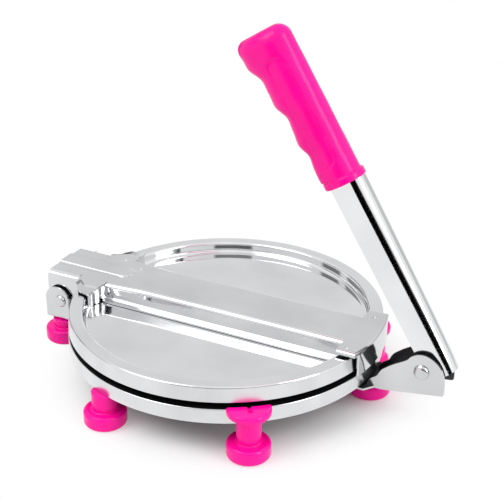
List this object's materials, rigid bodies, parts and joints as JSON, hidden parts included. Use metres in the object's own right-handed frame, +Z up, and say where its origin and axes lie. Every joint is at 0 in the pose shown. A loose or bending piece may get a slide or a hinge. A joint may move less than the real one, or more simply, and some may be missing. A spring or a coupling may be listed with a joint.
{
  "type": "tortilla press",
  "caption": "Round hinged press for flattening dough, with a polished steel lid and base, a gripped lever and moulded feet.",
  "frame": {"origin": "middle of the whole part's box, on the floor under its feet", "axes": "+X from the lid hinge towards the lever's pivot, +Y to the far side, +Z up"},
  "size_m": [0.2646, 0.1986, 0.2167],
  "materials": {
    "plate_steel": "mirror-polished stainless steel",
    "strap_steel": "polished stainless steel sheet",
    "fixing_steel": "bright steel rivets, washers and screws",
    "foot_plastic": "glossy pink moulded plastic",
    "grip_plastic": "satin-gloss pink moulded plastic"
  },
  "bodies": {
    "base": {"base_plate": "plate_steel", "base_stiffener": "strap_steel", "foot_far": "foot_plastic", "foot_far_left": "foot_plastic", "foot_far_right": "foot_plastic", "foot_front": "foot_plastic", "foot_front_left": "foot_plastic", "foot_hinge": "foot_plastic", "foot_lever": "foot_plastic", "foot_screw_hinge": "fixing_steel", "foot_screw_lever": "fixing_steel", "hinge_bracket": "strap_steel", "hinge_rivet_far": "fixing_steel", "hinge_rivet_near": "fixing_steel", "hinge_washer_far": "fixing_steel", "hinge_washer_near": "fixing_steel", "lever_bracket": "strap_steel", "lever_rivet": "fixing_steel", "lever_washer_far": "fixing_steel", "lever_washer_near": "fixing_steel"},
    "lid": {"lid_plate": "plate_steel", "lid_strap": "strap_steel"},
    "lever": {"lever_arm": "strap_steel", "lever_spacer": "fixing_steel", "grip": "grip_plastic"}
  },
  "joints": [
    {"name": "lid_hinge", "type": "hinge", "parent": "base", "child": "lid", "pos_m": [-0.11877, 0, 0.0285], "axis": [0, -1, 0], "range_deg": [0, 95]},
    {"name": "lever_pivot", "type": "hinge", "parent": "base", "child": "lever", "pos_m": [0.11483, 0, 0.0355], "axis": [0, 1, 0], "range_deg": [0, 76]}
  ],
  "couplings": [
    {"joint": "lever_pivot", "follows": "lid_hinge", "ratio": 0.8}
  ]
}
